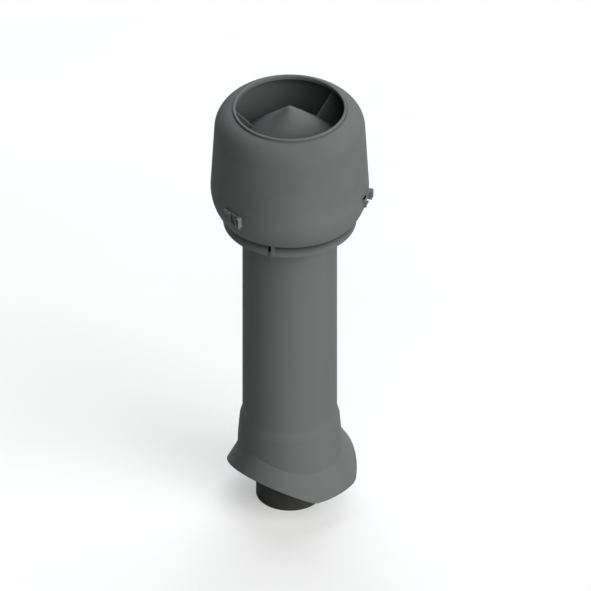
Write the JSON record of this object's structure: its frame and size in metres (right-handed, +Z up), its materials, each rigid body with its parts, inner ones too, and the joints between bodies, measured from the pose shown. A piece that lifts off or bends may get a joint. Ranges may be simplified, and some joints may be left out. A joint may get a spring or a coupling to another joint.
{
  "type": "roof vent pipe",
  "caption": "Double-walled roof vent pipe with a saddle skirt at its foot, a black inner duct and a barrel hood with an open top over a rain cone.",
  "frame": {"origin": "on the pipe's axis, at the lower end of the inner duct", "axes": "+Z up the pipe; the skirt arches up towards +Y and -Y and hangs lower towards +X and -X"},
  "size_m": [0.268, 0.2768, 0.7964],
  "materials": {
    "grey_plastic": "satin",
    "black_plastic": "satin",
    "foam": "matte"
  },
  "bodies": {
    "root": {"outer_pipe": "grey_plastic", "pipe_collar": "grey_plastic", "hood_base": "grey_plastic", "hood_shell": "grey_plastic", "rain_cone": "grey_plastic", "latch_1": "grey_plastic", "latch_2": "grey_plastic", "latch_3": "grey_plastic", "duct_pipe": "black_plastic", "insulation_sleeve": "foam"}
  },
  "joints": []
}
